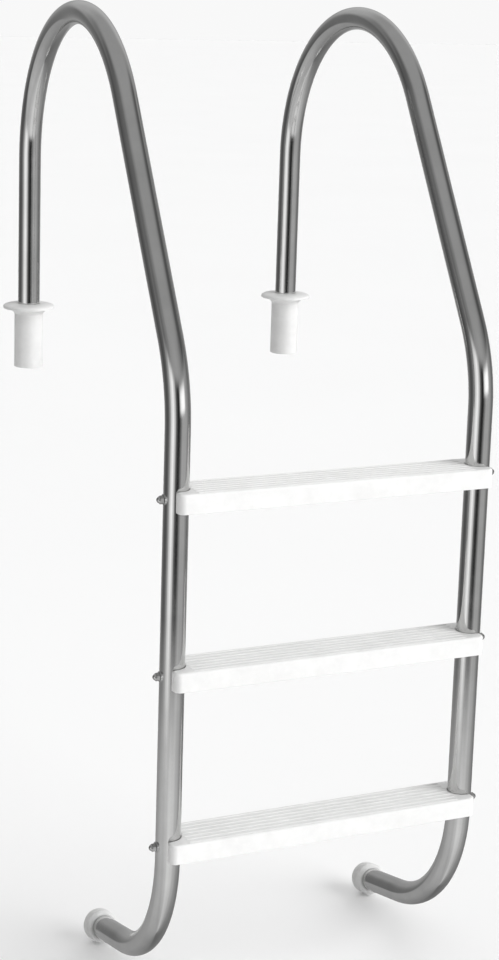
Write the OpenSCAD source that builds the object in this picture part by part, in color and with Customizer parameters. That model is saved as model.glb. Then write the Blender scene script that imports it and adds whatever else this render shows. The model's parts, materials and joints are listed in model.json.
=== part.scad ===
// Pool ladder for an in-ground pool: two bent tube rails joined by three
// moulded treads, with wall bumpers at the feet and plastic deck sockets.
// X runs across the ladder, +Y from the pool towards the deck, +Z up.
// The origin is midway between the two deck sockets, level with the deck.

/* [Rails] */
// Outside diameter of the rail tube
tube_d = 43; // [38:0.5:48]
// Wall thickness of the rail tube
tube_wall = 1.5; // [1.2:0.1:2.5]
// Distance between the two rail centre lines
rail_spacing = 568; // [480:4:640]
// Straight height of the deck leg above the deck
deck_leg_h = 300; // [250:5:360]
// Radius of the grab arch, to the tube's centre line
arch_r = 290; // [240:5:320]
// Angle between the sloping stretch and the vertical
slope_angle = 32; // [24:1:38]
// Length of the sloping stretch between its two bends
slope_len = 442; // [380:2:500]
// Radius of the knee between the slope and the pool leg
knee_r = 275; // [200:5:320]
// Straight length of the pool leg, which carries the treads
pool_leg_len = 742; // [740:2:900]
// Radius of the foot bend
foot_r = 270; // [150:5:300]
// Angle that the foot bend turns through, back towards the wall
foot_angle = 75; // [60:1:90]
// Straight tail between the foot bend and the tube's end
foot_tail = 135; // [60:5:180]

/* [Treads] */
// Height of the top tread's surface below the deck
top_tread_drop = 166; // [150:1:168]
// Height from one tread to the next
tread_pitch = 305; // [230:1:305]
// Depth of a tread from front to back
tread_depth = 86; // [76:2:110]
// Height of a tread
tread_h = 34; // [30:1:34]
// Length of tread past each rail's centre line
tread_overhang = 10; // [4:1:14]
// Wall thickness of the hollow tread
tread_wall = 3.5; // [2.5:0.5:5]
// Thickness of the tread's web round the rail
cup_wall = 8; // [6:1:10]
// Number of grip bars moulded on a tread's top
grip_bars = 7; // [3:1:9]
// Number of cross ribs under a tread
cross_ribs = 11; // [5:2:15]

/* [Fasteners] */
// Diameter of the tread bolts
bolt_d = 8; // [6:1:10]
// Width across the flats of the bolt heads and cap nuts
hex_flats = 13; // [10:1:17]
// Height of a bolt head
head_h = 5.3; // [4:0.1:7]
// Outside diameter of a saddle washer
washer_d = 18; // [14:1:24]
// Thickness of a saddle washer at the crown of the rail
washer_t = 1.6; // [1:0.1:3]

/* [Bumpers] */
// Diameter of a wall bumper
bumper_d = 60; // [56:1:80]
// Length of a wall bumper along the tube
bumper_len = 42; // [30:1:50]
// Depth of the tube inside a bumper
bumper_grip = 20; // [12:1:22]

/* [Deck sockets] */
// Outside diameter of a socket's sleeve
socket_d = 57; // [50:1:64]
// Depth of a socket below the deck
socket_depth = 119; // [90:1:200]
// Diameter of the flared collar at the deck
collar_d = 80; // [70:1:88]
// Diameter of an escutcheon
escutcheon_d = 102; // [90:1:116]
// Height of an escutcheon's dome
escutcheon_h = 9.5; // [7:0.5:14]

/* [Hidden] */
$fn = 96;
OVER = 1;                            // how far a cutter runs past what it cuts
tube_r = tube_d / 2;
bend_draw_down = 0.1;                // of the tube's section in a bend
bend_lap = 1;                        // of a straight stretch over a bend
socket_gap = 0.4;                    // round the leg, so that it lifts out
slide_gap = 0.5;                     // round the leg in an escutcheon
cup_gap = 0.15;                      // round the rail in a tread's cup
socket_floor = 4;
drain_d = 16;
leg_in_socket = socket_depth - socket_floor;

// The pool leg's place: how far the bends carry it out and down
pool_leg_y = -arch_r * (1 + cos(slope_angle)) - slope_len * sin(slope_angle)
             - knee_r * (1 - cos(slope_angle));

// Straight stretches are [length]; bends are [radius, angle]
rail_route = [
    [deck_leg_h + leg_in_socket],
    [arch_r, 180 - slope_angle],
    [slope_len],
    [knee_r, slope_angle],
    [pool_leg_len],
    [foot_r, foot_angle],
    [foot_tail]
];

tread_len = rail_spacing + 2 * tread_overhang;
tread_corner = 12;
tread_edge = 6;
grip_w = 3;
grip_h = 1;
grip_margin = 34;                    // from a grip bar's end to the tread's end
rib_w = 2.5;
rib_h = 24;
boss_w = 22;
cup_r = tube_r + cup_gap;
tread_levels = [for (i = [0 : 2]) -top_tread_drop - i * tread_pitch];

hole_gap = 0.2;                      // round a bolt in the rail and tread
nut_h = 6.5;
nut_dome = 5;
thread_in_nut = 7;
nut_bore_gap = 0.05;

SIDES = ["left", "right"];
LEVELS = ["top", "middle", "bottom"];

STEEL = "silver";
PLASTIC = "white";

// ---- placing ---------------------------------------------------------

// Side 0 is the left, at -X, and side 1 the right. Children are drawn with
// +X pointing outwards from the ladder and their origin on a rail's centre.
module on_side(side) {
    mirror([1 - side, 0, 0])
        translate([rail_spacing / 2, 0, 0])
            children();
}

// The middle height of a tread, on the pool leg's centre line
module at_tread_bolt(side, level) {
    on_side(side)
        translate([0, pool_leg_y, tread_levels[level] - tread_h / 2])
            children();
}

// Moves its children from the start to the end of a bend that turns from
// +Z towards -Y
module past_bend(radius, angle) {
    translate([0, -radius, 0])
        rotate([angle, 0, 0])
            translate([0, radius, 0])
                children();
}

// Puts its children at the end of the first `count` stretches of the rail
module along_rail(count, i = 0) {
    if (i == count)
        children();
    else if (len(rail_route[i]) == 1)
        translate([0, 0, rail_route[i][0]])
            along_rail(count, i + 1)
                children();
    else
        past_bend(rail_route[i][0], rail_route[i][1])
            along_rail(count, i + 1)
                children();
}

// ---- rails -----------------------------------------------------------

// The tube's section, drawn down all round by `draw_down`
module tube_ring(draw_down) {
    difference() {
        circle(tube_r - draw_down);
        circle(tube_r - tube_wall + draw_down);
    }
}

// Stretch `i` of the rail, from the origin along +Z or bent towards -Y. The
// tube draws down a little where it is bent, and each straight stretch laps
// over the ends of the bends beside it.
module tube_stretch(i) {
    stretch = rail_route[i];
    lap_before = i > 0 ? bend_lap : 0;
    lap_after = i < len(rail_route) - 1 ? bend_lap : 0;
    if (len(stretch) == 1)
        translate([0, 0, -lap_before])
            linear_extrude(lap_before + stretch[0] + lap_after)
                tube_ring(0);
    else
        translate([0, -stretch[0], 0])
            rotate([90, 0, 90])
                rotate_extrude(angle = stretch[1])
                    translate([stretch[0], 0])
                        tube_ring(bend_draw_down);
}

module rail(side) {
    color(STEEL)
        difference() {
            on_side(side)
                translate([0, 0, -leg_in_socket])
                    for (i = [0 : len(rail_route) - 1])
                        along_rail(i)
                            tube_stretch(i);
            for (level = [0 : 2])
                at_tread_bolt(side, level)
                    rotate([0, 90, 0])
                        cylinder(d = bolt_d + 2 * hole_gap, h = tube_d + 2 * OVER,
                                 center = true);
        }
}

// ---- treads ----------------------------------------------------------

module rounded_rect(length, width, radius) {
    square([length - 2 * radius, width], center = true);
    square([length, width - 2 * radius], center = true);
    for (x = [-1, 1], y = [-1, 1])
        translate([x * (length / 2 - radius), y * (width / 2 - radius)])
            circle(radius);
}

// The rail's notch in a tread's plan, open towards the tread's end
module notch_plan(radius) {
    for (x = [-1, 1])
        translate([x * rail_spacing / 2, 0]) {
            circle(radius);
            translate([x * tube_d / 2, 0])
                square([tube_d, 2 * radius], center = true);
        }
}

// A tread's plan, drawn in by `inset` all round
module tread_plan(inset) {
    difference() {
        rounded_rect(tread_len - 2 * inset, tread_depth - 2 * inset,
                     tread_corner - inset);
        notch_plan(cup_r + inset);
    }
}

// A tread's side profile, with its top edges rounded, run along the tread
module tread_side_profile() {
    rotate([90, 0, 90])
        translate([0, 0, -tread_len / 2])
            linear_extrude(tread_len) {
                translate([-tread_depth / 2, -tread_h])
                    square([tread_depth, tread_h - tread_edge]);
                translate([-tread_depth / 2 + tread_edge, -tread_h])
                    square([tread_depth - 2 * tread_edge, tread_h]);
                for (y = [-1, 1])
                    translate([y * (tread_depth / 2 - tread_edge), -tread_edge])
                        circle(tread_edge);
            }
}

module grip_pattern() {
    bar_len = tread_len - 2 * grip_margin;
    step = (tread_depth - 2 * tread_edge - grip_w) / (grip_bars - 1);
    for (i = [0 : grip_bars - 1])
        translate([-bar_len / 2,
                   -tread_depth / 2 + tread_edge + i * step, -OVER])
            cube([bar_len, grip_w, grip_h + OVER]);
}

module tread_ribs() {
    span = rail_spacing - 2 * (cup_r + cup_wall) - 2 * boss_w;
    for (i = [0 : cross_ribs - 1])
        translate([-span / 2 + i * span / (cross_ribs - 1) - rib_w / 2,
                   -tread_depth / 2 + tread_wall / 2, -rib_h])
            cube([rib_w, tread_depth - tread_wall, rib_h - tread_wall / 2]);
    translate([-span / 2, -rib_w / 2, -rib_h])
        cube([span, rib_w, rib_h - tread_wall / 2]);
}

// The bolt's seat inside the tread: a flat pad on the web, with two lugs
// that keep the bolt head from turning
module bolt_seats() {
    lug_gap = 0.15;
    seat = cup_r + cup_wall;
    for (x = [-1, 1])
        mirror([(1 - x) / 2, 0, 0])
            translate([rail_spacing / 2 - seat, 0, 0]) {
                translate([0, -boss_w / 2, -tread_h])
                    cube([cup_wall, boss_w, tread_h - tread_wall / 2]);
                for (y = [-1, 1])
                    translate([-head_h, y * (hex_flats / 2 + lug_gap + rib_w / 2)
                               - rib_w / 2, -tread_h])
                        cube([head_h + OVER, rib_w, tread_h - tread_wall / 2]);
            }
}

module tread(level) {
    color(PLASTIC)
        translate([0, pool_leg_y, tread_levels[level]])
            difference() {
                union() {
                    difference() {
                        intersection() {
                            translate([0, 0, -tread_h])
                                linear_extrude(tread_h)
                                    tread_plan(0);
                            tread_side_profile();
                        }
                        translate([0, 0, -tread_h - OVER])
                            linear_extrude(tread_h - tread_wall + OVER)
                                tread_plan(tread_wall);
                    }
                    grip_pattern();
                    tread_ribs();
                    bolt_seats();
                }
                translate([0, 0, -tread_h / 2])
                    rotate([0, 90, 0])
                        cylinder(d = bolt_d + 2 * hole_gap, h = tread_len,
                                 center = true);
            }
}

// ---- fasteners -------------------------------------------------------

module hexagon(height) {
    rotate([0, 90, 0])
        cylinder(d = hex_flats / cos(30), h = height, $fn = 6);
}

module tread_bolt(side, level) {
    head_x = -cup_r - cup_wall;
    tip_x = tube_r + washer_t + thread_in_nut;
    color(STEEL)
        at_tread_bolt(side, level) {
            translate([head_x - head_h, 0, 0])
                hexagon(head_h);
            translate([head_x - OVER, 0, 0])
                rotate([0, 90, 0])
                    cylinder(d = bolt_d, h = tip_x - head_x + OVER);
        }
}

module saddle_washer(side, level) {
    depth = 4;                       // long enough to wrap the rail
    color(STEEL)
        at_tread_bolt(side, level)
            difference() {
                translate([tube_r + washer_t - depth, 0, 0])
                    rotate([0, 90, 0])
                        cylinder(d = washer_d, h = depth);
                cylinder(r = tube_r, h = 2 * washer_d, center = true);
                rotate([0, 90, 0])
                    cylinder(d = bolt_d + 2 * hole_gap, h = tube_d);
            }
}

// A cap nut's dome, from inside the hexagon to its top
module nut_dome_section() {
    dome_r = hex_flats / 2 - 0.2;
    intersection() {
        translate([0, nut_h + nut_dome - dome_r])
            circle(dome_r);
        translate([0, nut_h - OVER])
            square([dome_r, nut_dome + 2 * OVER]);
    }
}

module cap_nut(side, level) {
    color(STEEL)
        at_tread_bolt(side, level)
            translate([tube_r + washer_t, 0, 0])
                difference() {
                    union() {
                        hexagon(nut_h);
                        rotate([0, 90, 0])
                            rotate_extrude()
                                nut_dome_section();
                    }
                    translate([-OVER, 0, 0])
                        rotate([0, 90, 0])
                            cylinder(d = bolt_d + 2 * nut_bore_gap,
                                     h = thread_in_nut + 2 * OVER);
                }
}

// ---- bumpers ---------------------------------------------------------

// Half of a bumper's section: the tube enters from below, and the pad that
// meets the wall is the domed top
module bumper_section() {
    pad_dome = 6;
    neck_wall = 4;
    neck_h = 5;
    chamfer = 2;
    rim = 8;
    dome_steps = 8;
    polygon(concat(
        [[0, 0], [tube_r, 0], [tube_r, -bumper_grip],
         [tube_r + neck_wall, -bumper_grip],
         [bumper_d / 2 - chamfer, neck_h - bumper_grip],
         [bumper_d / 2, neck_h + chamfer - bumper_grip]],
        [for (i = [0 : dome_steps])
            let (a = 90 * i / dome_steps)
            [bumper_d / 2 - rim + rim * cos(a),
             bumper_len - bumper_grip - pad_dome - rim + rim * sin(a)]],
        [[0, bumper_len - bumper_grip]]
    ));
}

module bumper(side) {
    color(PLASTIC)
        on_side(side)
            translate([0, 0, -leg_in_socket])
                along_rail(len(rail_route))
                    rotate_extrude()
                        bumper_section();
}

// ---- deck sockets and escutcheons --------------------------------------

module deck_socket(side) {
    flare_h = 13;
    lip_h = 2;
    bore_r = tube_r + socket_gap;
    color(PLASTIC)
        on_side(side)
            difference() {
                rotate_extrude()
                    polygon([
                        [0, -socket_depth], [socket_d / 2, -socket_depth],
                        [socket_d / 2, -flare_h], [collar_d / 2, -lip_h],
                        [collar_d / 2, 0], [0, 0]
                    ]);
                translate([0, 0, -leg_in_socket])
                    cylinder(r = bore_r, h = leg_in_socket + OVER);
                translate([0, 0, -socket_depth - OVER])
                    cylinder(d = drain_d, h = socket_floor + 2 * OVER);
            }
}

// Half of an escutcheon's section: a thin dome on a rim, with an inner
// collar that guides it on the leg
module escutcheon_section() {
    rim_h = 3.5;
    skin = 2;
    bore_r = tube_r + slide_gap;
    crown_r = bore_r + 3;
    dome_steps = 10;
    function dome(i, inset) =
        let (a = 90 * i / dome_steps)
        [crown_r + (escutcheon_d / 2 - inset - crown_r) * cos(a),
         rim_h - inset + (escutcheon_h - rim_h) * sin(a)];
    polygon(concat(
        [[bore_r, 0], [bore_r, escutcheon_h]],
        [for (i = [dome_steps : -1 : 0]) dome(i, 0)],
        [[escutcheon_d / 2, 0], [escutcheon_d / 2 - skin, 0]],
        [for (i = [0 : dome_steps]) dome(i, skin)],
        [[crown_r, 0]]
    ));
}

module escutcheon(side) {
    color(PLASTIC)
        on_side(side)
            rotate_extrude()
                escutcheon_section();
}

// ---- the assembly ------------------------------------------------------

for (side = [0, 1]) {
    rail(side);
    bumper(side);
    deck_socket(side);
    escutcheon(side);
}

for (level = [0 : 2]) {
    tread(level);
    for (side = [0, 1]) {
        place = str(LEVELS[level], "_", SIDES[side]);
        tread_bolt(side, level);
        saddle_washer(side, level);
        cap_nut(side, level);
    }
}
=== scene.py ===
"""The looks of the pool ladder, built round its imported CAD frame.

Metres, in the frame's own axes: X across the ladder, +Y from the pool
towards the deck, +Z up, and the deck at z = 0. Every piece is a mesh made
here. It rides on the frame's body and stands for the frame's node.
"""
import json
import math

import bmesh
import bpy
from mathutils import Matrix, Vector

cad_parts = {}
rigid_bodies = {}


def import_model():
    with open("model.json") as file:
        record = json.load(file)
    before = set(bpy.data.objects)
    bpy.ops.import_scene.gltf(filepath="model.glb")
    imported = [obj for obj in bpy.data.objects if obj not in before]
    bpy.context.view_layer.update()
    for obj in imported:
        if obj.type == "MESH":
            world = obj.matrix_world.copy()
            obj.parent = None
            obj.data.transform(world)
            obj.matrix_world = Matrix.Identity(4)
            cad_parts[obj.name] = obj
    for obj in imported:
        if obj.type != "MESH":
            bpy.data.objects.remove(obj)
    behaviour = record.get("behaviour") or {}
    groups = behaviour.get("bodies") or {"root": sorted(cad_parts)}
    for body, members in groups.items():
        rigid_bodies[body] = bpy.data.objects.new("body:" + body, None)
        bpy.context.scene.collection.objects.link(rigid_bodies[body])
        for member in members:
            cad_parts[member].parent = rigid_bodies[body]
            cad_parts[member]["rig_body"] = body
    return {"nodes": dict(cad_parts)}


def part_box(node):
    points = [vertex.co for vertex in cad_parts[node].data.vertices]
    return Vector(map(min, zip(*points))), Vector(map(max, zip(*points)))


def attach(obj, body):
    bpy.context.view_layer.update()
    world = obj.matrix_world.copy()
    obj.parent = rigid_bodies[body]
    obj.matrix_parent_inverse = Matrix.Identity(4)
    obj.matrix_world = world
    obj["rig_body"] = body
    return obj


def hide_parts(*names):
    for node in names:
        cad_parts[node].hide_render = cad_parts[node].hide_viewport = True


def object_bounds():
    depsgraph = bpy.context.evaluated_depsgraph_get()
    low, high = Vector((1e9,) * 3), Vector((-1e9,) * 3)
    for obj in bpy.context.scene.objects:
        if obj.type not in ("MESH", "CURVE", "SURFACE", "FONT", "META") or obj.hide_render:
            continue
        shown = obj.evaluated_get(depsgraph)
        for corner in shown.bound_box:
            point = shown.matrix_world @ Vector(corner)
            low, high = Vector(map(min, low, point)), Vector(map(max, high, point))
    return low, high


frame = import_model()
cad_box = [list(corner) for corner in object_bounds()]

MM = 0.001
SIDES = {"left": -1, "right": 1}
LEVELS = ("top", "middle", "bottom")

# ---- camera --------------------------------------------------------------

CAMERA_PLACE = Vector((-1.4017, -3.5701, 0.6356))
CAMERA_YAW = math.radians(23.32)          # from +Y towards +X
CAMERA_PITCH = math.radians(11.13)        # down
CAMERA_ROLL = math.radians(1.61)
CAMERA_SENSOR = 36.0
CAMERA_LENS = 70.45
CAMERA_SHIFT = (0.0307, -0.125)


def make_camera():
    data = bpy.data.cameras.new("camera")
    data.sensor_width = CAMERA_SENSOR
    data.lens = CAMERA_LENS
    data.shift_x, data.shift_y = CAMERA_SHIFT
    camera = bpy.data.objects.new("camera", data)
    bpy.context.scene.collection.objects.link(camera)
    look = Vector((math.sin(CAMERA_YAW) * math.cos(CAMERA_PITCH),
                   math.cos(CAMERA_YAW) * math.cos(CAMERA_PITCH),
                   -math.sin(CAMERA_PITCH)))
    level = Vector((math.cos(CAMERA_YAW), -math.sin(CAMERA_YAW), 0))
    upright = level.cross(look)
    right = math.cos(CAMERA_ROLL) * level + math.sin(CAMERA_ROLL) * upright
    up = math.cos(CAMERA_ROLL) * upright - math.sin(CAMERA_ROLL) * level
    turn = Matrix((right, up, -look)).transposed()
    camera.matrix_world = Matrix.Translation(CAMERA_PLACE) @ turn.to_4x4()
    bpy.context.scene.camera = camera


make_camera()

# ---- sizes ---------------------------------------------------------------

rail_low, rail_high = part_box("right_rail")
TUBE_R = (rail_high.x - rail_low.x) / 2
RAIL_X = (rail_high.x + rail_low.x) / 2
TUBE_WALL = 1.5 * MM
POOL_LEG_Y = rail_low.y + TUBE_R
SOCKET_FLOOR = 4 * MM
LEG_IN_SOCKET = -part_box("left_deck_socket")[0].z - SOCKET_FLOOR
DECK_LEG = 300 * MM
ARCH_R, ARCH_TURN = 290 * MM, math.radians(148)
SLOPE = 442 * MM
KNEE_R, KNEE_TURN = 275 * MM, math.radians(32)
POOL_LEG = 742 * MM
FOOT_R, FOOT_TURN = 270 * MM, math.radians(75)
FOOT_TAIL = 135 * MM
# Straight stretches are (length,); bends are (radius, angle)
RAIL_ROUTE = (
    (DECK_LEG + LEG_IN_SOCKET,), (ARCH_R, ARCH_TURN), (SLOPE,),
    (KNEE_R, KNEE_TURN), (POOL_LEG,), (FOOT_R, FOOT_TURN), (FOOT_TAIL,),
)

TREAD_WALL, TREAD_CORNER = 3.5 * MM, 12 * MM
TREAD_EDGE, TREAD_LIP = 4 * MM, 4.4 * MM
CUP_R, CUP_WALL = TUBE_R + 0.15 * MM, 8 * MM
GRIP_BARS, GRIP_W, GRIP_H, GRIP_MARGIN = 7, 3 * MM, 1 * MM, 34 * MM
GRIP_SINK, GRIP_SIDE_MARGIN = 0.8 * MM, 6 * MM
TREAD_PAST_RAIL = 10 * MM                 # from the rail's centre line to the tread's end
CROSS_RIBS, RIB_W, RIB_H, BOSS_W = 11, 2.5 * MM, 24 * MM, 22 * MM
LUG_GAP, LUG_OVERLAP = 0.15 * MM, 1 * MM

BOLT_D, BOLT_HOLE_D = 8 * MM, 8.4 * MM
THREAD_PITCH, THREAD_DEPTH, THREAD_LEN = 1.25 * MM, 0.7 * MM, 22 * MM
HEX_FLATS, HEAD_H = 13 * MM, 5.3 * MM
WASHER_D, WASHER_T = 18 * MM, 1.6 * MM
NUT_H, NUT_DOME, NUT_DOME_R, NUT_THREAD = 6.5 * MM, 5 * MM, 5.6 * MM, 7 * MM

BUMPER_GRIP, BUMPER_PAD, BUMPER_DOME, BUMPER_RIM = 20 * MM, 22 * MM, 6 * MM, 8 * MM
BUMPER_NECK_WALL, BUMPER_NECK_LEN = 4 * MM, 7 * MM
BUMPER_GROOVES, BUMPER_GROOVE_PITCH = 3, 4 * MM

SLEEVE_R, SOCKET_FLARE, COLLAR_LIP, DRAIN_R = 28.5 * MM, 13 * MM, 2 * MM, 8 * MM
LEG_CLEARANCE, COVER_CLEARANCE = 0.4 * MM, 0.5 * MM
COVER_RIM, COVER_SKIN, COVER_CROWN = 3.5 * MM, 2 * MM, 3 * MM

TUBE_STEPS, FASTENER_STEPS, WASHER_STEPS = 72, 48, 64
SOCKET_STEPS, BUMPER_STEPS, COVER_STEPS = 96, 96, 128
STRAIGHT_STEP, BEND_STEP = 50 * MM, math.radians(2)

# ---- mesh helpers --------------------------------------------------------


def add_piece(name, verts, faces, material, sharp_deg=35, layers=None):
    """A mesh object from its corners and faces, smooth but for sharp edges."""
    mesh = bpy.data.meshes.new(name)
    mesh.from_pydata([tuple(v) for v in verts], [], faces)
    for layer, values in (layers or {}).items():
        mesh.attributes.new(layer, "FLOAT", "POINT").data.foreach_set("value", values)
    piece = bpy.data.objects.new(name, mesh)
    bpy.context.scene.collection.objects.link(piece)
    settle(piece, material, sharp_deg)
    return piece


def settle(piece, material, sharp_deg):
    """Outward normals, smooth shading, and weighting that keeps flats flat."""
    mesh = piece.data
    bm = bmesh.new()
    bm.from_mesh(mesh)
    bmesh.ops.recalc_face_normals(bm, faces=bm.faces)
    bm.to_mesh(mesh)
    bm.free()
    mesh.polygons.foreach_set("use_smooth", [True] * len(mesh.polygons))
    mesh.set_sharp_from_angle(angle=math.radians(sharp_deg))
    mesh.materials.clear()
    mesh.materials.append(material)
    weighting = piece.modifiers.new("weighted normals", "WEIGHTED_NORMAL")
    weighting.keep_sharp = True


def dress(piece, node):
    """The piece stands for a CAD node and rides on that node's body."""
    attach(piece, frame["nodes"][node]["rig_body"])
    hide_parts(node)


def loft(rings):
    """Corners and faces that join equal closed rings of points, the last one
    back to the first."""
    count = len(rings[0])
    verts = [p for ring in rings for p in ring]
    faces = []
    for i in range(len(rings)):
        a, b = i * count, (i + 1) % len(rings) * count
        for j in range(count):
            k = (j + 1) % count
            faces.append((a + j, a + k, b + k, b + j))
    return verts, faces


def revolve(section, steps, place):
    """Turns a closed section round Z. Its points are (radius, height), or a
    function of the angle that gives them; one on the axis is one corner."""
    verts, rings = [], []
    for point in section:
        if not callable(point) and point[0] == 0:
            rings.append([len(verts)] * steps)
            verts.append(place @ Vector((0, 0, point[1])))
            continue
        rings.append(range(len(verts), len(verts) + steps))
        for j in range(steps):
            a = 2 * math.pi * j / steps
            r, z = point(a) if callable(point) else point
            verts.append(place @ Vector((r * math.cos(a), r * math.sin(a), z)))
    faces = []
    for i, ring in enumerate(rings):
        after = rings[(i + 1) % len(rings)]
        for j in range(steps):
            k = (j + 1) % steps
            face = []
            for corner in (ring[j], ring[k], after[k], after[j]):
                if corner not in face:
                    face.append(corner)
            if len(face) > 2:
                faces.append(tuple(face))
    return verts, faces


def arc(centre, radius, start_deg, end_deg, steps):
    """Points round an arc in a section, ends included."""
    points = []
    for i in range(steps + 1):
        a = math.radians(start_deg + (end_deg - start_deg) * i / steps)
        points.append((centre[0] + radius * math.cos(a),
                       centre[1] + radius * math.sin(a)))
    return points


# ---- materials -----------------------------------------------------------


class Nodes:
    """Short calls for the nodes of one material or world."""

    def __init__(self, block):
        block.use_nodes = True
        self.block = block
        self.tree = block.node_tree

    def add(self, kind, **settings):
        node = self.tree.nodes.new(kind)
        for key, value in settings.items():
            setattr(node, key, value)
        return node

    def put(self, node, socket, value):
        if isinstance(value, bpy.types.NodeSocket):
            self.tree.links.new(value, node.inputs[socket])
        else:
            node.inputs[socket].default_value = value

    def place(self):
        return self.add("ShaderNodeTexCoord").outputs["Object"]

    def attribute(self, name):
        return self.add("ShaderNodeAttribute", attribute_name=name).outputs["Fac"]

    def vector(self, *values):
        node = self.add("ShaderNodeCombineXYZ")
        for socket, value in zip("XYZ", values):
            self.put(node, socket, value)
        return node.outputs[0]

    def math(self, operation, a, b=0.0):
        node = self.add("ShaderNodeMath", operation=operation)
        self.put(node, 0, a)
        self.put(node, 1, b)
        return node.outputs[0]

    def blend(self, share, a, b):
        """Runs from a to b as share goes from 0 to 1."""
        rest = self.math("SUBTRACT", 1.0, share)
        return self.math("ADD", self.math("MULTIPLY", rest, a),
                         self.math("MULTIPLY", share, b))

    def noise(self, where, scale, detail=3.0, roughness=0.5):
        node = self.add("ShaderNodeTexNoise")
        for socket, value in (("Vector", where), ("Scale", scale),
                              ("Detail", detail), ("Roughness", roughness)):
            self.put(node, socket, value)
        return node.outputs["Fac"]

    def ramp(self, value, stops, interpolation="LINEAR"):
        """Stops are (position, colour or grey)."""
        node = self.add("ShaderNodeValToRGB")
        self.put(node, "Fac", value)
        node.color_ramp.interpolation = interpolation
        elements = node.color_ramp.elements
        while len(elements) < len(stops):
            elements.new(1.0)
        for element, (position, colour) in zip(elements, stops):
            element.position = position
            grey = isinstance(colour, (int, float))
            element.color = (*([colour] * 3 if grey else colour), 1)
        return node.outputs["Color"]

    def bump(self, height, strength, distance, under=None):
        node = self.add("ShaderNodeBump")
        self.put(node, "Height", height)
        self.put(node, "Strength", strength)
        self.put(node, "Distance", distance)
        if under is not None:
            self.put(node, "Normal", under)
        return node.outputs["Normal"]


def finish_material(n, **sockets):
    shader = n.tree.nodes["Principled BSDF"]
    for socket, value in sockets.items():
        n.put(shader, socket.replace("_", " "), value)
    return n.block


def polished_steel():
    """Polished tube: faint polishing rings, smudges and water marks."""
    n = Nodes(bpy.data.materials.new("polished_steel"))
    along, around = n.attribute("along"), n.attribute("around")
    stretched = n.vector(n.math("MULTIPLY", along, 900.0), n.math("MULTIPLY", around, 3.0), 0.0)
    rings = n.noise(stretched, scale=1.0, detail=4.0, roughness=0.6)
    smudges = n.noise(n.place(), scale=14.0, detail=4.0, roughness=0.55)
    spots = n.noise(n.place(), scale=160.0, detail=2.0)
    tone = n.ramp(smudges, [(0.3, (0.60, 0.60, 0.595)), (0.75, (0.68, 0.68, 0.675))])
    rough = n.math("ADD", n.math("MULTIPLY", smudges, 0.10),
                   n.math("ADD", n.math("MULTIPLY", rings, 0.08),
                          n.math("MULTIPLY", spots, 0.04)))
    return finish_material(n, Base_Color=tone, Metallic=1.0, Roughness=rough,
                           Normal=n.bump(rings, strength=0.15, distance=0.02 * MM))


def turned_steel():
    """Bolts, washers and cap nuts: bright, with fine machining marks."""
    n = Nodes(bpy.data.materials.new("turned_steel"))
    grain = n.noise(n.place(), scale=900.0, roughness=0.6)
    stains = n.noise(n.place(), scale=90.0)
    tone = n.ramp(stains, [(0.3, (0.50, 0.50, 0.50)), (0.75, (0.66, 0.66, 0.655))])
    rough = n.math("ADD", 0.14, n.math("MULTIPLY", grain, 0.16))
    return finish_material(n, Base_Color=tone, Metallic=1.0, Roughness=rough,
                           Normal=n.bump(grain, strength=0.2, distance=0.03 * MM))


def moulded_plastic(name, low, high, roughness, skin_scale, skin_depth):
    """Moulded plastic or rubber: a fine skin, faint sinks and grime."""
    n = Nodes(bpy.data.materials.new(name))
    skin = n.noise(n.place(), scale=skin_scale, roughness=0.55)
    sinks = n.noise(n.place(), scale=18.0, detail=2.0)
    grime = n.noise(n.place(), scale=55.0, detail=5.0, roughness=0.65)
    mixed = n.math("MULTIPLY", n.math("ADD", sinks, grime), 0.5)
    tone = n.ramp(mixed, [(0.3, low), (0.65, high)])
    rough = n.math("ADD", roughness - 0.07, n.math("MULTIPLY", grime, 0.14))
    waves = n.bump(sinks, strength=0.15, distance=0.6 * MM)
    normal = n.bump(skin, strength=0.35, distance=skin_depth, under=waves)
    return finish_material(n, Base_Color=tone, Roughness=rough, Normal=normal)


STEEL = polished_steel()
FASTENER = turned_steel()
TREAD_PLASTIC = moulded_plastic(
    "tread_plastic", low=(0.72, 0.72, 0.715), high=(0.80, 0.80, 0.795),
    roughness=0.42, skin_scale=700.0, skin_depth=0.20 * MM)
SOCKET_PLASTIC = moulded_plastic(
    "socket_plastic", low=(0.66, 0.66, 0.655), high=(0.74, 0.74, 0.735),
    roughness=0.34, skin_scale=900.0, skin_depth=0.10 * MM)
BUMPER_RUBBER = moulded_plastic(
    "bumper_rubber", low=(0.58, 0.58, 0.575), high=(0.74, 0.74, 0.735),
    roughness=0.55, skin_scale=500.0, skin_depth=0.20 * MM)

# ---- rails ---------------------------------------------------------------


def route_frames(start):
    """Places along the rail, as (matrix, distance): +Z runs along the tube
    and -Y is the inside of the bends."""
    here, gone = start, 0.0
    frames = [(here, gone)]
    for stretch in RAIL_ROUTE:
        if len(stretch) == 1:
            length = stretch[0]
            steps = round(length / STRAIGHT_STEP)
            step = Matrix.Translation((0, 0, length / steps))
        else:
            radius, turn = stretch
            length = radius * turn
            steps = round(turn / BEND_STEP)
            step = (Matrix.Translation((0, -radius, 0))
                    @ Matrix.Rotation(turn / steps, 4, "X")
                    @ Matrix.Translation((0, radius, 0)))
        for _ in range(steps):
            here = here @ step
            gone += length / steps
            frames.append((here, gone))
    return frames


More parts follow.
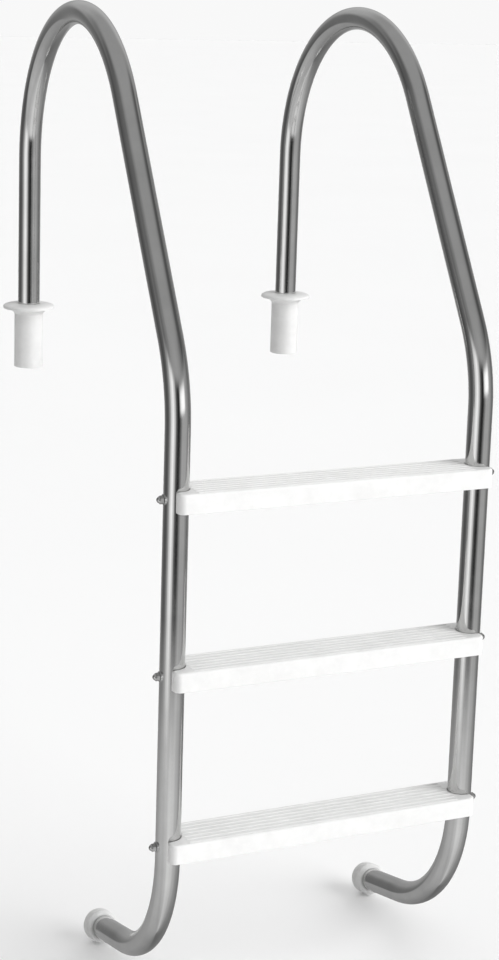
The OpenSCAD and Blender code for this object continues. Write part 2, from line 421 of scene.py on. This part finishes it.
def make_rail(side):
    """A hollow tube swept along its route, with deburred ends. Returns the
    place of its far end."""
    burr = 0.4 * MM
    frames = route_frames(Matrix.Translation((SIDES[side] * RAIL_X, 0, -LEG_IN_SOCKET)))
    outer, inner = TUBE_R, TUBE_R - TUBE_WALL
    first, last = frames[0], frames[-1]
    walk = [(first, outer - burr, 0), (first, outer, burr)]
    walk += [(place, outer, 0) for place in frames[1:-1]]
    walk += [(last, outer, -burr), (last, outer - burr, 0),
             (last, inner + burr, 0), (last, inner, -burr)]
    walk += [(place, inner, 0) for place in reversed(frames[1:-1])]
    walk += [(first, inner, burr), (first, inner + burr, 0)]
    rings, along, around = [], [], []
    for (place, gone), radius, shift in walk:
        ring = []
        for j in range(TUBE_STEPS):
            a = 2 * math.pi * j / TUBE_STEPS
            ring.append(place @ Vector((radius * math.cos(a), radius * math.sin(a), shift)))
            along.append(gone + shift)
            around.append(math.cos(a))
        rings.append(ring)
    verts, faces = loft(rings)
    tube = add_piece(f"{side}_rail_tube", verts, faces, STEEL, sharp_deg=50,
                     layers={"along": along, "around": around})
    dress(tube, f"{side}_rail")
    return last[0]


# ---- treads --------------------------------------------------------------


def tread_outline(half_length, half_width, inset, cup_inset):
    """A tread's plan, drawn in by `inset`: rounded corners, and at each end
    a mouth with rounded lips that takes the rail."""
    corner = TREAD_CORNER - inset
    lip = TREAD_LIP - inset
    end, edge = half_length - inset, half_width - inset
    cup = CUP_R + cup_inset
    cup_steps, lip_steps, corner_steps, along_edge = 14, 6, 8, 0.4
    quarter = arc((RAIL_X, 0), cup, 180, 90, cup_steps)
    quarter += arc((end - lip, CUP_R + inset + lip), lip, -90, 0, lip_steps)
    quarter += arc((end - corner, edge - corner), corner, 0, 90, corner_steps)
    quarter.append((half_length * along_edge, edge))
    plan = quarter + [(-x, y) for x, y in reversed(quarter)]
    return plan + [(-x, -y) for x, y in quarter[1:]] + \
        [(x, -y) for x, y in reversed(quarter[1:])]


def tread_moulding(half_length, half_width, height):
    """The tread's hollow moulding: outer skin with a rounded top, and inside
    skin, as one closed mesh."""
    bm = bmesh.new()

    def ring(inset, cup_inset, z):
        plan = tread_outline(half_length, half_width, inset, cup_inset)
        return [bm.verts.new((x, y, z)) for x, y in plan]

    def join(a, b):
        for j in range(len(a)):
            k = (j + 1) % len(a)
            bm.faces.new((a[j], a[k], b[k], b[j]))

    brim, steps, cup_edge_share = 0.6 * MM, 6, 0.5
    rings = [ring(TREAD_WALL, TREAD_WALL, -TREAD_WALL), ring(TREAD_WALL, TREAD_WALL, -height),
             ring(brim, brim, -height), ring(0, 0, brim - height)]
    for i in range(steps + 1):
        a = math.radians(90 * i / steps)
        drawn_in, drop = 1 - math.cos(a), 1 - math.sin(a)
        rings.append(ring(TREAD_EDGE * drawn_in, cup_edge_share * TREAD_EDGE * drawn_in,
                          -TREAD_EDGE * drop))
    for a, b in zip(rings, rings[1:]):
        join(a, b)
    bm.faces.new(rings[0])
    bm.faces.new(rings[-1])
    bmesh.ops.recalc_face_normals(bm, faces=bm.faces)
    return bm


def add_block(bm, low, high):
    """A rib or a boss, as eight corners and six faces."""
    corners = [bm.verts.new((x, y, z)) for x in (low[0], high[0])
               for y in (low[1], high[1]) for z in (low[2], high[2])]
    for face in ((0, 1, 3, 2), (4, 6, 7, 5), (0, 4, 5, 1),
                 (2, 3, 7, 6), (0, 2, 6, 4), (1, 5, 7, 3)):
        bm.faces.new([corners[i] for i in face])


def add_grip_bar(bm, y, half_bar):
    """A raised bar with a round back and rounded ends, sunk in the top."""
    back_steps, taper_steps = 8, 5
    half_w = GRIP_W / 2
    angles = [math.pi * (1 - i / back_steps) for i in range(back_steps + 1)]
    back = [(half_w * math.cos(a), GRIP_H * math.sin(a)) for a in angles]
    section = [(-half_w, -GRIP_SINK)] + back + [(half_w, -GRIP_SINK)]
    rings = []
    ends = [math.sin(math.pi / 2 * i / taper_steps) for i in range(1, taper_steps + 1)]
    xs = [(-half_bar + half_w * (1 - math.cos(math.asin(s))), s) for s in ends]
    for x, share in xs + [(-x, share) for x, share in reversed(xs)]:
        rings.append([bm.verts.new((x, y + v * share, -GRIP_SINK if z < 0 else z * share))
                      for v, z in section])
    for a, b in zip(rings, rings[1:]):
        for j in range(len(a)):
            k = (j + 1) % len(a)
            bm.faces.new((a[j], a[k], b[k], b[j]))
    bm.faces.new(rings[0])
    bm.faces.new(rings[-1])


def tread_extras(half_width, height):
    """Grip bars, ribs, bolt bosses and the lugs that hold the bolt heads."""
    bm = bmesh.new()
    half_bar = RAIL_X + TREAD_PAST_RAIL - GRIP_MARGIN
    reach = half_width - GRIP_SIDE_MARGIN - GRIP_W / 2
    for i in range(GRIP_BARS):
        add_grip_bar(bm, reach * (2 * i / (GRIP_BARS - 1) - 1), half_bar)
    roof, rib_foot = -TREAD_WALL / 2, -RIB_H
    seat = RAIL_X - CUP_R - CUP_WALL
    span = seat - BOSS_W
    rib_y = half_width - TREAD_WALL / 2
    for i in range(CROSS_RIBS):
        x = span * (2 * i / (CROSS_RIBS - 1) - 1)
        add_block(bm, (x - RIB_W / 2, -rib_y, rib_foot), (x + RIB_W / 2, rib_y, roof))
    add_block(bm, (-span, -RIB_W / 2, rib_foot), (span, RIB_W / 2, roof))
    for s in SIDES.values():
        wall = (s * seat, s * (seat + CUP_WALL))
        add_block(bm, (min(wall), -BOSS_W / 2, -height), (max(wall), BOSS_W / 2, roof))
        lug = (s * (seat - HEAD_H), s * (seat + LUG_OVERLAP))
        for t in SIDES.values():
            y = t * (HEX_FLATS / 2 + LUG_GAP + RIB_W / 2)
            add_block(bm, (min(lug), y - RIB_W / 2, -height), (max(lug), y + RIB_W / 2, roof))
    bmesh.ops.recalc_face_normals(bm, faces=bm.faces)
    return bm


def bolt_bore(half_length, height):
    """The round cutter that bores a tread from end to end for its bolts."""
    bm = bmesh.new()
    turn = Matrix.Translation((0, 0, -height / 2)) @ Matrix.Rotation(math.pi / 2, 4, "Y")
    bmesh.ops.create_cone(bm, cap_ends=True, segments=FASTENER_STEPS, radius1=BOLT_HOLE_D / 2,
                          radius2=BOLT_HOLE_D / 2, depth=2 * half_length, matrix=turn)
    return bm


def bm_object(bm, name):
    mesh = bpy.data.meshes.new(name)
    bm.to_mesh(mesh)
    bm.free()
    made = bpy.data.objects.new(name, mesh)
    bpy.context.scene.collection.objects.link(made)
    return made


def cut_and_join(base, steps):
    """Runs (operation, object) booleans on base and keeps the result."""
    for operation, other in steps:
        cut = base.modifiers.new(operation, "BOOLEAN")
        cut.operation, cut.object = operation, other
        cut.solver = "EXACT"
        cut.use_self = operation == "UNION"
    result = base.evaluated_get(bpy.context.evaluated_depsgraph_get())
    mesh = bpy.data.meshes.new_from_object(result)
    for spare in [base] + [other for _, other in steps]:
        bpy.data.objects.remove(spare)
    return mesh


def make_treads():
    low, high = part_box("top_tread")
    half_length, half_width = (high.x - low.x) / 2, (high.y - low.y) / 2
    height = high.z - low.z - GRIP_H
    mesh = cut_and_join(
        bm_object(tread_moulding(half_length, half_width, height), "moulding"),
        [("UNION", bm_object(tread_extras(half_width, height), "extras")),
         ("DIFFERENCE", bm_object(bolt_bore(half_length, height), "bore"))])
    for level in LEVELS:
        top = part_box(f"{level}_tread")[1].z - GRIP_H
        own = mesh.copy()
        own.transform(Matrix.Translation((0, POOL_LEG_Y, top)))
        step = bpy.data.objects.new(f"{level}_tread_moulding", own)
        bpy.context.scene.collection.objects.link(step)
        settle(step, TREAD_PLASTIC, sharp_deg=38)
        dress(step, f"{level}_tread")


# ---- fasteners -----------------------------------------------------------

CHAMFER_R = 0.47 * HEX_FLATS
HEX_TURN, HEX_CHAMFER = math.radians(60), math.radians(30)


def hex_ring(z, chamfer=0):
    """A hexagon's outline. A chamfer of +1 or -1 draws its corners back
    below or above z, as a cone turned on the blank does."""
    def point(angle):
        in_flat = angle % HEX_TURN - HEX_TURN / 2
        r = HEX_FLATS / 2 / math.cos(in_flat)
        return r, z - chamfer * (r - CHAMFER_R) * math.tan(HEX_CHAMFER)
    return point


def fastener_place(side, level):
    """Origin on the rail's centre line, +Z outwards from the ladder."""
    low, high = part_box(f"{level}_{side}_bolt")
    turn = Matrix.Rotation(SIDES[side] * math.pi / 2, 4, "Y")
    return Matrix.Translation((SIDES[side] * RAIL_X, POOL_LEG_Y, (low.z + high.z) / 2)) @ turn


def make_bolt(side, level):
    """A hex bolt with a domed head and a rolled thread at its tip."""
    under = -CUP_R - CUP_WALL
    head = under - HEAD_H
    tip = TUBE_R + WASHER_T + NUT_THREAD
    shank, root = BOLT_D / 2, BOLT_D / 2 - THREAD_DEPTH
    flat_share, crown = 0.7, 0.1 * MM
    section = [(0, head), (CHAMFER_R * flat_share, head), (CHAMFER_R, head + crown),
               hex_ring(head, -1), hex_ring(under), (shank, under)]
    for i in range(int(THREAD_LEN / THREAD_PITCH)):
        z = tip - THREAD_LEN + i * THREAD_PITCH
        section += [(shank, z), (root, z + THREAD_PITCH / 2)]
    section += [(shank, tip - MM), (root, tip), (0, tip)]
    bolt = add_piece(f"{level}_{side}_hex_bolt",
                     *revolve(section, FASTENER_STEPS, fastener_place(side, level)),
                     FASTENER, sharp_deg=25)
    dress(bolt, f"{level}_{side}_bolt")


def make_washer(side, level):
    """A washer with a flat face, its underside saddled to the rail."""
    top, edge, bevel = TUBE_R + WASHER_T, 0.4 * MM, 0.12 * MM
    outer, bore = WASHER_D / 2, BOLT_HOLE_D / 2

    def saddle(radius):
        return lambda a: (radius, math.sqrt(TUBE_R ** 2 - (radius * math.sin(a)) ** 2))

    section = [(bore, top), (outer - edge, top), (outer - bevel, top - bevel),
               (outer, top - edge), saddle(outer), saddle((outer + bore) / 2), saddle(bore)]
    washer = add_piece(f"{level}_{side}_saddle_washer",
                       *revolve(section, WASHER_STEPS, fastener_place(side, level)),
                       FASTENER, sharp_deg=30)
    dress(washer, f"{level}_{side}_washer")


def make_cap_nut(side, level):
    """A chamfered hexagon under a turned dome, with a blind bore."""
    base = TUBE_R + WASHER_T
    top = base + NUT_H
    bore = BOLT_D / 2 + 0.05 * MM
    bore_end = base + NUT_THREAD + 0.4 * MM
    step_h, cone_h = 0.2 * MM, 0.2 * MM
    section = [(bore, base), (CHAMFER_R, base), hex_ring(base, -1), hex_ring(top, 1),
               (CHAMFER_R, top), (NUT_DOME_R, top + step_h)]
    section += arc((0, top + NUT_DOME - NUT_DOME_R), NUT_DOME_R, 8, 90, 9)
    section[-1] = (0, top + NUT_DOME)
    section += [(0, bore_end + cone_h), (bore, bore_end)]
    nut = add_piece(f"{level}_{side}_domed_nut",
                    *revolve(section, FASTENER_STEPS, fastener_place(side, level)),
                    FASTENER, sharp_deg=25)
    dress(nut, f"{level}_{side}_cap_nut")


# ---- bumpers -------------------------------------------------------------


def make_bumper(side, tube_end):
    """A rubber cap: a neck that grips the tube, and a wide domed pad."""
    low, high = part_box(f"{side}_bumper")
    rim_r, neck_r = (high.x - low.x) / 2, TUBE_R + BUMPER_NECK_WALL
    lip, groove, corner, neck_edge, dome_steps = 0.6 * MM, 0.8 * MM, 2 * MM, 1 * MM, 8
    shoulder = BUMPER_NECK_LEN - BUMPER_GRIP  # where the neck has widened to the pad
    rim_z = BUMPER_PAD - BUMPER_DOME - BUMPER_RIM
    dome_flat = rim_r - BUMPER_RIM
    dome_r = (dome_flat ** 2 + BUMPER_DOME ** 2) / (2 * BUMPER_DOME)
    section = [(TUBE_R + lip, -BUMPER_GRIP), (TUBE_R, lip - BUMPER_GRIP), (TUBE_R, 0)]
    section += [(0, 0), (0, BUMPER_PAD)]
    for i in range(1, dome_steps + 1):
        a = math.asin(dome_flat / dome_r) * i / dome_steps
        section.append((dome_r * math.sin(a), BUMPER_PAD - dome_r * (1 - math.cos(a))))
    section += arc((dome_flat, rim_z), BUMPER_RIM, 80, 0, 8)
    for i in range(1, BUMPER_GROOVES + 1):
        z = rim_z - i * BUMPER_GROOVE_PITCH
        section += [(rim_r, z + groove), (rim_r - groove, z + 0.5 * groove),
                    (rim_r - groove, z - 0.5 * groove), (rim_r, z - groove)]
    section += arc((rim_r - corner, shoulder), corner, 0, -60, 3)
    section += arc((neck_r - neck_edge, neck_edge - BUMPER_GRIP), neck_edge, -20, -90, 4)
    bumper = add_piece(f"{side}_wall_bumper", *revolve(section, BUMPER_STEPS, tube_end),
                       BUMPER_RUBBER, sharp_deg=40)
    dress(bumper, f"{side}_bumper")


# ---- deck sockets and escutcheons ----------------------------------------


def make_deck_socket(side):
    """A sleeve with a flared collar and a drained floor for the leg."""
    low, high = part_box(f"{side}_deck_socket")
    collar_r, bore = (high.x - low.x) / 2, TUBE_R + LEG_CLEARANCE
    round_r, edge, flare_steps = 1 * MM, 0.5 * MM, 6
    section = [(DRAIN_R, low.z + SOCKET_FLOOR), (DRAIN_R, low.z + edge), (DRAIN_R + edge, low.z)]
    section += arc((SLEEVE_R - round_r, low.z + round_r), round_r, -90, 0, 4)
    for i in range(flare_steps + 1):
        t = i / flare_steps
        section.append((SLEEVE_R + (collar_r - SLEEVE_R) * t * t,
                        -SOCKET_FLARE + (SOCKET_FLARE - COLLAR_LIP) * t))
    section += [(collar_r, -edge), (collar_r - edge, 0), (bore + round_r, 0), (bore, -round_r)]
    section += arc((bore - round_r, low.z + SOCKET_FLOOR + round_r), round_r, 0, -90, 4)
    place = Matrix.Translation((SIDES[side] * RAIL_X, 0, 0))
    socket = add_piece(f"{side}_deck_sleeve", *revolve(section, SOCKET_STEPS, place),
                       SOCKET_PLASTIC, sharp_deg=40)
    dress(socket, f"{side}_deck_socket")


def make_escutcheon(side):
    """A thin dome, open below, with a bore that is loose on the leg."""
    low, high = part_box(f"{side}_escutcheon")
    outer, height = (high.x - low.x) / 2, high.z - low.z
    bore, edge, dome_steps = TUBE_R + COVER_CLEARANCE, 0.5 * MM, 16
    crown = bore + COVER_CROWN

    def dome(step, inset):
        a = math.pi / 2 * step / dome_steps
        return (crown + (outer - inset - crown) * math.cos(a),
                COVER_RIM - inset + (height - COVER_RIM) * math.sin(a))

    section = [(bore, 0), (bore, height - edge), (bore + edge, height)]
    section += [dome(i, 0) for i in range(dome_steps, -1, -1)]
    section += [(outer, edge), (outer - edge, 0), (outer - COVER_SKIN, 0)]
    section += [dome(i, COVER_SKIN) for i in range(dome_steps + 1)]
    section.append((crown, 0))
    place = Matrix.Translation((SIDES[side] * RAIL_X, 0, low.z))
    cover = add_piece(f"{side}_escutcheon_dome", *revolve(section, COVER_STEPS, place),
                      SOCKET_PLASTIC, sharp_deg=40)
    dress(cover, f"{side}_escutcheon")


# ---- building ------------------------------------------------------------

for side in SIDES:
    make_bumper(side, make_rail(side))
    make_deck_socket(side)
    make_escutcheon(side)
make_treads()
for level in LEVELS:
    for side in SIDES:
        make_bolt(side, level)
        make_washer(side, level)
        make_cap_nut(side, level)

# ---- studio --------------------------------------------------------------

# Azimuth in degrees from +X towards +Y, and how bright the studio is there:
# round the horizon, and in a ring above it
STUDIO_LEVEL = (
    (-180, 0.42), (-166, 1.00), (-150, 1.32), (-136, 0.80), (-121, 0.14), (-107, 0.02),
    (-95, 0.04), (-81, 0.26), (-68, 0.50), (-35, 0.50), (-15, 0.34), (5, 0.18),
    (30, 0.34), (60, 0.42), (90, 0.38), (115, 0.20), (140, 0.10), (160, 0.14), (180, 0.42),
)
STUDIO_UPPER = (
    (-180, 0.18), (-160, 0.28), (-140, 0.40), (-120, 0.44), (-100, 0.46), (-80, 0.42),
    (-60, 0.34), (-40, 0.22), (-22, 0.11), (-4, 0.12), (15, 0.36), (40, 0.58), (80, 0.56),
    (105, 0.50), (130, 0.24), (155, 0.14), (180, 0.18),
)
# How much of the floor's light is left there, from below the horizon down
STUDIO_LOWER = (
    (-180, 0.85), (-160, 0.82), (-135, 0.98), (-110, 1.28), (-80, 1.16), (-50, 0.84),
    (-10, 0.52), (20, 0.36), (50, 0.32), (95, 0.50), (130, 0.60), (160, 0.78), (180, 0.85),
)
SOFTBOX_AZIMUTH = ((-100, 0.0), (-80, 1.0), (-54, 1.0), (-36, 0.0))
SOFTBOX_BRIGHTNESS = 1.1
# Height from 0 at the nadir to 1 at the zenith: the studio's base brightness,
# and how much each ring and the softbox count there
BASE_BY_HEIGHT = ((0.0, 0.58), (0.15, 0.74), (0.30, 0.74), (0.5, 0.5), (0.85, 0.40))
LOWER_BY_HEIGHT = ((0.35, 1.0), (0.50, 0.0))
LEVEL_BY_HEIGHT = ((0.295, 0.0), (0.345, 1.0), (0.60, 1.0), (0.70, 0.0))
UPPER_BY_HEIGHT = ((0.56, 0.0), (0.64, 1.0), (0.78, 1.0), (0.92, 0.0))
SOFTBOX_BY_HEIGHT = ((0.46, 0.0), (0.51, 1.0), (0.58, 1.0), (0.66, 0.0))
AMBIENT = 0.34                            # what the studio sheds on matt things
PALE = 0.941                              # the studio as the camera sees it
# Name, where it comes from, strength, and spread in degrees
LIGHTS = (
    ("key", (0.6, -0.66, 0.34), 3.0, 50),
    ("overhead", (0.0, 0.1, 1.0), 0.9, 90),
    ("back_fill", (0.55, 0.8, 0.3), 0.9, 60),
)
FLOOR_HALF, FLOOR_ROUGHNESS = 60.0, 0.9


def azimuth_ramp(n, share, stops):
    """Brightness round the compass, with a ramp that holds values over one."""
    peak = max(b for _, b in stops)
    scaled = [((a + 180) / 360, b / peak) for a, b in stops]
    return n.math("MULTIPLY", n.ramp(share, scaled, "EASE"), peak)


def make_world():
    """A studio with bright screens, dark gaps and a raised softbox for the
    steel to mirror; even for matt things, and pale to the camera itself."""
    world = bpy.data.worlds.new("studio")
    bpy.context.scene.world = world
    n = Nodes(world)
    shade = n.tree.nodes["Background"]
    where = n.add("ShaderNodeTexCoord").outputs["Generated"]
    split = n.add("ShaderNodeSeparateXYZ")
    n.put(split, 0, where)
    azimuth = n.math("ARCTAN2", split.outputs["Y"], split.outputs["X"])
    share = n.math("ADD", n.math("DIVIDE", azimuth, 2 * math.pi), 0.5)
    height = n.math("ADD", n.math("MULTIPLY", split.outputs["Z"], 0.5), 0.5)
    lower = n.blend(n.ramp(height, LOWER_BY_HEIGHT), 1.0, azimuth_ramp(n, share, STUDIO_LOWER))
    base = n.math("MULTIPLY", n.ramp(height, BASE_BY_HEIGHT), lower)
    level_share = n.ramp(height, LEVEL_BY_HEIGHT, "EASE")
    upper_share = n.ramp(height, UPPER_BY_HEIGHT, "EASE")
    softbox = n.math("MULTIPLY", n.ramp(height, SOFTBOX_BY_HEIGHT, "EASE"),
                     azimuth_ramp(n, share, SOFTBOX_AZIMUTH))
    studio = n.blend(upper_share, base, azimuth_ramp(n, share, STUDIO_UPPER))
    studio = n.blend(level_share, studio, azimuth_ramp(n, share, STUDIO_LEVEL))
    studio = n.math("ADD", studio, n.math("MULTIPLY", softbox, SOFTBOX_BRIGHTNESS))
    ray = n.add("ShaderNodeLightPath").outputs
    studio = n.blend(ray["Is Diffuse Ray"], studio, AMBIENT)
    n.put(shade, "Color", n.blend(ray["Is Camera Ray"], studio, PALE))
    shade.inputs["Strength"].default_value = 1.0


def add_soft_light(name, from_direction, strength, spread_deg):
    """Even light from one side of the studio, soft by its spread."""
    data = bpy.data.lights.new(name, "SUN")
    data.energy, data.angle = strength, math.radians(spread_deg)
    lamp = bpy.data.objects.new(name, data)
    bpy.context.scene.collection.objects.link(lamp)
    lamp.rotation_euler = (-Vector(from_direction)).to_track_quat("-Z", "Y").to_euler()
    lamp.visible_glossy = False


def make_floor():
    """A pale floor under the foot bends."""
    n = Nodes(bpy.data.materials.new("studio_floor"))
    mottle = n.noise(n.place(), scale=0.8, detail=2.0)
    tone = n.ramp(mottle, [(0.3, (0.912, 0.912, 0.912)), (0.7, (0.92, 0.92, 0.92))])
    material = finish_material(n, Base_Color=tone, Roughness=FLOOR_ROUGHNESS)
    half, z = FLOOR_HALF, cad_box[0][2] - MM
    corners = [(-half, -half, z), (half, -half, z), (half, half, z), (-half, half, z)]
    mesh = bpy.data.meshes.new("floor")
    mesh.from_pydata(corners, [], [(0, 1, 2, 3)])
    mesh.materials.append(material)
    floor = bpy.data.objects.new("floor", mesh)
    bpy.context.scene.collection.objects.link(floor)
    floor.visible_glossy = False


make_world()
make_floor()
for light in LIGHTS:
    add_soft_light(*light)
bpy.context.scene.view_settings.view_transform = "Standard"
